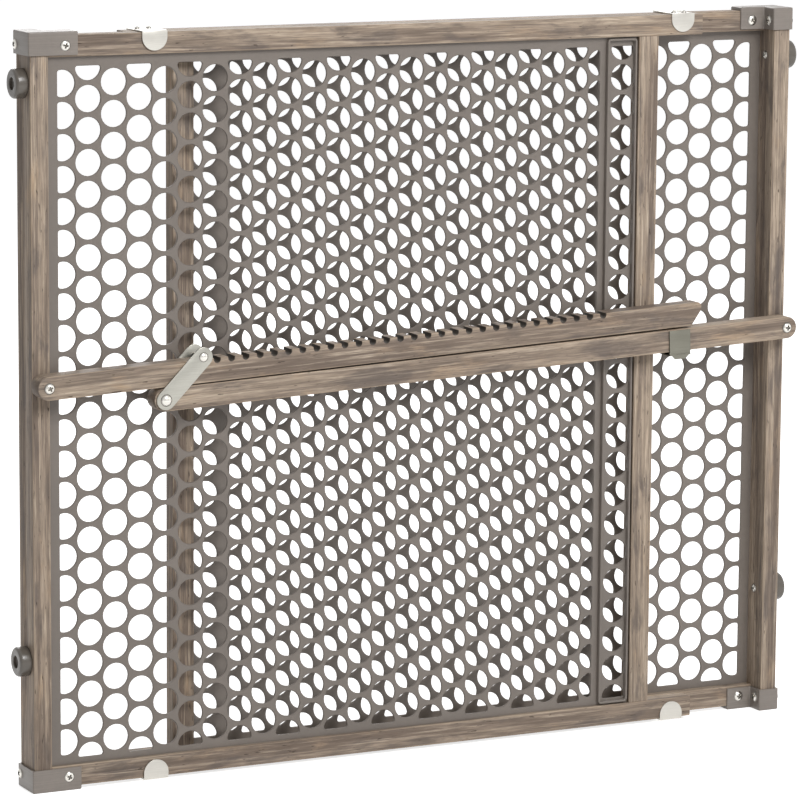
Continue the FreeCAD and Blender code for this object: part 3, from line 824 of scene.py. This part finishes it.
def make_lock_clip():
    """Folded keeper round the strut: front plate, grooved bend, floor, back plate, thumb tab."""
    turn = Matrix.Rotation(STRUT_TURN, 3, "Y")
    back = turn.inverted()
    lo, hi = turned_box(frame["nodes"]["lock_clip"].data, STRUT_TURN)
    strut_lo, strut_hi = turned_box(frame["nodes"]["strut"].data, STRUT_TURN)
    thick, groove = 0.001, 0.0005
    left, right = lo.x + 0.001, hi.x
    front, rear = lo.y, hi.y
    plate_top, plate_end = strut_hi.z - 0.0005, strut_lo.z - 0.0003
    floor = strut_lo.z - 0.0024
    back_top = hi.z - 0.0035
    folded = [(front, plate_top), (front + thick, plate_top), (front + thick, floor),
              (rear - thick, floor), (rear - thick, back_top), (rear, back_top),
              (rear, floor - thick), (front, floor - thick), (front, floor),
              (front + groove, floor), (front + groove, plate_end), (front, plate_end)]
    tab_top, tab_taper = floor - thick + 0.0003, 0.005
    tab = [(left + 0.002, tab_top), (right - 0.001, tab_top),
           (right - tab_taper, lo.z), (left + tab_taper, lo.z)]

    def along_strut(u, v, depth):
        return back @ Vector((depth, u, v))

    def facing(u, v, depth):
        return back @ Vector((u, depth, v))

    bm = bmesh.new()
    prism(bm, folded, left, right, along_strut)
    prism(bm, tab, front + 0.0001, front + thick, facing)
    hole_r, hole_x, hole_z, sides = 0.0016, (left + right) / 2, back_top - 0.0032, 20
    hole = bmesh.new()
    prism(hole, [(hole_x + hole_r * math.cos(a), hole_z + hole_r * math.sin(a))
                 for a in (2 * math.pi * i / sides for i in range(sides))],
          rear - 2 * thick, rear + thick, facing)
    cutter = bpy.data.objects.new("hole", closed_mesh("hole", hole))
    bpy.context.scene.collection.objects.link(cutter)
    mesh = eased(closed_mesh("lock_clip", bm), CLIP_EASE, segments=2, angle=40, cutter=cutter)
    bpy.data.objects.remove(cutter)
    add_piece("lock_clip_steel", mesh, LOCK_STEEL, "lock_clip", "link_steel", "lock_clip")


# ------------------------------------------------------------------ screws, pins and rivets
def turned_parts_tree():
    """A section turned round its axis, with or without a cross recess, set at each place."""
    tree = GeometryTree("turned_parts", [
        ("Places", "NodeSocketObject"), ("Section", "NodeSocketObject"),
        ("Sides", "NodeSocketInt"), ("Head Radius", "NodeSocketFloat"),
        ("Recess", "NodeSocketBool"), ("Recess Width", "NodeSocketFloat"),
        ("Recess Length", "NodeSocketFloat"), ("Recess Depth", "NodeSocketFloat"),
        ("Seed", "NodeSocketInt"), ("Material", "NodeSocketMaterial")])
    # a circle next to nothing across, so that the section is turned round its own edge
    circle = tree.add("GeometryNodeCurvePrimitiveCircle", Resolution=tree.value("Sides"),
                      Radius=0.000001).outputs[0]
    level = tree.add("GeometryNodeSetCurveNormal", {"mode": "Z_UP"}, Curve=circle)
    section = tree.add("GeometryNodeObjectInfo", Object=tree.value("Section"))
    skin = tree.add("GeometryNodeCurveToMesh", Curve=level.outputs[0],
                    Profile_Curve=section.outputs["Geometry"]).outputs[0]
    solid = tree.add("GeometryNodeMergeByDistance", Geometry=skin, Distance=0.00001).outputs[0]
    depth = tree.math("MULTIPLY", tree.value("Recess Depth"), 2.0)
    blades = [tree.add("GeometryNodeMeshCube", Size=tree.vector(*size, depth)).outputs[0]
              for size in ((tree.value("Recess Width"), tree.value("Recess Length")),
                           (tree.value("Recess Length"), tree.value("Recess Width")))]
    cut = tree.add("GeometryNodeMeshBoolean", {"operation": "DIFFERENCE", "solver": "EXACT"},
                   Mesh_1=solid)
    for blade in blades:
        link(tree.tree, blade, cut.inputs["Mesh 2"])
    neat = tree.add("GeometryNodeMergeByDistance", Geometry=cut.outputs[0],
                    Distance=0.000002).outputs[0]
    choice = tree.add("GeometryNodeSwitch", {"input_type": "GEOMETRY"},
                      Switch=tree.value("Recess"), False_=solid, True_=neat)
    # the attribute rim says where shade is painted: it grows towards the head's edge and is 1 on
    # the recess floor
    split = tree.add("ShaderNodeSeparateXYZ",
                     Vector=tree.add("GeometryNodeInputPosition").outputs[0])
    radius = tree.math("SQRT", tree.math("ADD",
                       tree.math("MULTIPLY", split.outputs[0], split.outputs[0]),
                       tree.math("MULTIPLY", split.outputs[1], split.outputs[1])))
    rim = tree.math("DIVIDE", radius, tree.value("Head Radius"))
    inside = tree.math("LESS_THAN", split.outputs[2], -0.00001)
    sunk = tree.math("MULTIPLY", tree.math("LESS_THAN", split.outputs[2], tree.math(
        "MULTIPLY", tree.value("Recess Depth"), -0.9)), tree.math("LESS_THAN", rim, 0.7))
    marked = tree.add("GeometryNodeStoreNamedAttribute",
                      {"data_type": "FLOAT", "domain": "POINT"}, Geometry=choice.outputs[0],
                      Name="rim", Value=tree.math("MAXIMUM", sunk, tree.math(
                          "MULTIPLY", rim, inside))).outputs[0]
    places = tree.add("GeometryNodeObjectInfo", Object=tree.value("Places"))
    aim = tree.add("GeometryNodeInputNamedAttribute", {"data_type": "FLOAT_VECTOR"}, Name="aim")
    turn = tree.add("FunctionNodeAlignRotationToVector", {"axis": "Z"},
                    Vector=aim.outputs["Attribute"]).outputs[0]
    chance = tree.add("FunctionNodeRandomValue", {"data_type": "FLOAT"}, Seed=tree.value("Seed"))
    angle = tree.math("MULTIPLY", chance.outputs[1], math.pi / 2)
    twist = tree.add("FunctionNodeAxisAngleToRotation", Axis=(0, 0, 1), Angle=angle).outputs[0]
    whole = tree.add("FunctionNodeRotateRotation", {"rotation_space": "LOCAL"},
                     Rotation=turn, Rotate_By=twist).outputs[0]
    placed = tree.add("GeometryNodeInstanceOnPoints", Points=places.outputs["Geometry"],
                      Instance=marked, Rotation=whole).outputs[0]
    tree.finish(placed)
    return tree


def loose_parts(node):
    """Corner points of each separate solid of a CAD node."""
    bm = bmesh.new()
    bm.from_mesh(frame["nodes"][node].data)
    bmesh.ops.remove_doubles(bm, verts=bm.verts, dist=WELD)
    seen, parts = set(), []
    for start in bm.verts:
        if start in seen:
            continue
        seen.add(start)
        stack, part = [start], []
        while stack:
            vert = stack.pop()
            part.append(vert.co.copy())
            for edge in vert.link_edges:
                other = edge.other_vert(vert)
                if other not in seen:
                    seen.add(other)
                    stack.append(other)
        parts.append(part)
    bm.free()
    return parts


def measure_turned(points):
    """Place, direction and sizes of one turned piece; a rivet has a tail, its second head."""
    lo, hi = extent(points)
    axis = max(range(3), key=lambda i: (hi - lo)[i])
    middle, length = (lo + hi) / 2, (hi - lo)[axis]

    def radial(point):
        offset = point - middle
        offset[axis] = 0
        return offset.length

    # a head's underside is a plane with both the head's rim and the shank's edge in it
    planes = {}
    for point in points:
        planes.setdefault(round(point[axis], 5), []).append(radial(point))
    head_r = max(radial(p) for p in points)
    seats = sorted(at for at, radii in planes.items()
                   if max(radii) > 0.95 * head_r and min(radii) < 0.9 * head_r)
    above, below = hi[axis] - seats[-1], seats[0] - lo[axis]
    if abs(above - below) > 0.5 * length:
        head_up, tail = above < below, 0.0
    else:
        # two heads: the outer one counts as the head, and the front faces -Y
        head_up = axis != 1
        tail = below if head_up else above
    top, seat = (hi[axis], seats[-1]) if head_up else (lo[axis], seats[0])
    shank = min(r for r in planes[seat] if r > 0.0005)
    aim, place = Vector((0, 0, 0)), middle.copy()
    aim[axis], place[axis] = 1 if head_up else -1, top
    return dict(aim=aim, place=place, head_r=head_r, head_h=abs(top - seat), shank=shank,
                length=length, tail=tail)


def dome(radius, height, start, direction, steps=6):
    """Section points of a domed head from its crown out to its edge."""
    ball = (radius ** 2 + height ** 2) / (2 * height)
    reach = math.asin(min(1.0, radius / ball))
    return [(-ball * math.sin(reach * i / steps),
             start - direction * ball * (1 - math.cos(reach * i / steps)))
            for i in range(steps + 1)]


def turned_section(size):
    """Half section of a screw or a two-headed pin, crown at the origin."""
    points = dome(size["head_r"], size["head_h"], 0.0, 1)
    points.append((-size["shank"], -size["head_h"]))
    end = -size["length"]
    if size["tail"]:
        points.append((-size["shank"], end + size["tail"]))
        points += reversed(dome(size["head_r"], size["tail"], end, -1))
    else:
        points += [(-size["shank"], end), (0.0, end)]
    return [(x / MM, -y / MM) for x, y in points]


def make_turned(tree, node, body, slot_name, recess):
    """Screws have a cross recess, rivets don't; the recess is a share of the head's size."""
    width, length, depth = 0.34, 1.0, 0.75
    sizes = [measure_turned(part) for part in loose_parts(node)]
    size = sizes[0]
    section = curve_object("section", turned_section(size), False)
    source = bpy.data.meshes.new("places")
    source.from_pydata([s["place"] for s in sizes], [], [])
    source.attributes.new("aim", "FLOAT_VECTOR", "POINT").data.foreach_set(
        "vector", [v for s in sizes for v in s["aim"]])
    places = bpy.data.objects.new("places", source)
    mesh = tree.mesh_from(node + "_tmp", bpy.data.meshes.new("empty"), {
        "Places": places, "Section": section, "Sides": 28, "Head Radius": size["head_r"],
        "Recess": recess, "Recess Width": size["head_r"] * width,
        "Recess Length": size["head_r"] * length, "Recess Depth": size["head_h"] * depth,
        "Seed": sum(ord(c) for c in node) % 100, "Material": SCREW_STEEL})
    mesh.polygons.foreach_set("use_smooth", [True] * len(mesh.polygons))
    mesh.set_sharp_from_angle(angle=math.radians(35))
    for obj in (section, places):
        bpy.data.objects.remove(obj)
    add_piece(node + "_turned", mesh, SCREW_STEEL, body, slot_name, node)


def make_fixings():
    tree = turned_parts_tree()
    for side in ("front", "rear"):
        for part in ("cap_screws", "bumper_screws", "clip_screws"):
            make_turned(tree, side + "_" + part, side + "_panel", "screw_steel", True)
    for node, body in (("lever_pivot_screw", "front_panel"), ("strut_pivot_screw", "rear_panel")):
        make_turned(tree, node, body, "screw_steel", True)
    for node in ("link_notch_pin", "link_lower_rivet"):
        make_turned(tree, node, "link", "link_steel", False)


make_wood()
make_grilles()
make_plastics()
make_clips()
make_link_plates()
make_lock_clip()
make_fixings()
set_cad_material(["lever_washer", "strut_washer"], WASHER_PLASTIC)


# ------------------------------------------------------------------ floor, light and camera
SKY_LIGHT = 0.30        # what the surroundings give as light
FLOOR_GLOW = 0.73       # brings the lit floor up to white where it is seen


def seen_directly(tree):
    """1 for what the camera sees, straight or in a reflection, and 0 for what lights the gate."""
    paths = tree.nodes.new("ShaderNodeLightPath")
    return math_node(tree, "MAXIMUM", paths.outputs["Is Camera Ray"],
                     math_node(tree, "MAXIMUM", paths.outputs["Is Glossy Ray"],
                               paths.outputs["Is Transmission Ray"]))


def make_floor():
    mesh = bpy.data.meshes.new("floor")
    half = 30.0
    corners = [(-half, -half, 0), (half, -half, 0), (half, half, 0), (-half, half, 0)]
    mesh.from_pydata(corners, [], [(0, 1, 2, 3)])
    floor = bpy.data.objects.new("floor", mesh)
    bpy.context.scene.collection.objects.link(floor)
    material, tree, shader = new_material("floor")
    shader.inputs["Base Color"].default_value = (0.9, 0.9, 0.9, 1)
    shader.inputs["Roughness"].default_value = 0.9
    shader.inputs["Specular IOR Level"].default_value = 0.1
    seen = seen_directly(tree)
    glow = tree.nodes.new("ShaderNodeEmission")
    link(tree, math_node(tree, "MULTIPLY", seen, FLOOR_GLOW), glow.inputs["Strength"])
    add = tree.nodes.new("ShaderNodeAddShader")
    link(tree, shader.outputs[0], add.inputs[0])
    link(tree, glow.outputs[0], add.inputs[1])
    link(tree, add.outputs[0], tree.nodes["Material Output"].inputs["Surface"])
    mesh.materials.append(material)


def area_light(name, location, target, size, power):
    light = bpy.data.lights.new(name, "AREA")
    light.shape = "RECTANGLE"
    light.size, light.size_y = size
    light.energy = power
    lamp = bpy.data.objects.new(name, light)
    lamp.location = location
    lamp.rotation_euler = (Vector(target) - Vector(location)).to_track_quat("-Z", "Y").to_euler()
    bpy.context.scene.collection.objects.link(lamp)


def make_lights():
    world = bpy.data.worlds.new("studio")
    bpy.context.scene.world = world
    world.use_nodes = True
    tree = world.node_tree
    background = tree.nodes["Background"]
    background.inputs["Color"].default_value = (1, 1, 1, 1)
    seen = seen_directly(tree)
    link(tree, math_node(tree, "MULTIPLY_ADD", seen, 1.0 - SKY_LIGHT, SKY_LIGHT),
         background.inputs["Strength"])
    area_light("key", (0.35, -2.5, 2.3), (-0.1, 0, 0.3), (1.3, 1.3), 70)
    area_light("fill", (2.6, -1.2, 1.2), (0, 0, 0.3), (2.0, 1.6), 8)
    area_light("back", (0.6, 2.4, 1.8), (0, 0, 0.3), (2.0, 1.2), 30)


CAMERA_AT = (-1.6088, -3.1849, 0.8964)
CAMERA_YAW, CAMERA_PITCH, CAMERA_ROLL = (math.radians(a) for a in (26.531, 9.562, -0.424))
CAMERA_LENS, CAMERA_SENSOR = 197.252, 36.0


def make_camera():
    """Yaw is to the right of straight ahead, pitch is downward."""
    camera = bpy.data.cameras.new("camera")
    camera.sensor_width = CAMERA_SENSOR
    camera.lens = CAMERA_LENS
    camera.clip_start, camera.clip_end = 0.05, 100
    obj = bpy.data.objects.new("camera", camera)
    level = math.cos(CAMERA_PITCH)
    ahead = Vector((math.sin(CAMERA_YAW) * level, math.cos(CAMERA_YAW) * level,
                    -math.sin(CAMERA_PITCH)))
    right = Vector((math.cos(CAMERA_YAW), -math.sin(CAMERA_YAW), 0))
    down = ahead.cross(right)
    side = right * math.cos(CAMERA_ROLL) + down * math.sin(CAMERA_ROLL)
    below = down * math.cos(CAMERA_ROLL) - right * math.sin(CAMERA_ROLL)
    basis = Matrix((side, -below, -ahead)).transposed().to_4x4()
    obj.matrix_world = Matrix.Translation(CAMERA_AT) @ basis
    bpy.context.scene.collection.objects.link(obj)
    bpy.context.scene.camera = obj


make_floor()
make_lights()
make_camera()
bpy.context.scene.view_settings.view_transform = "Standard"
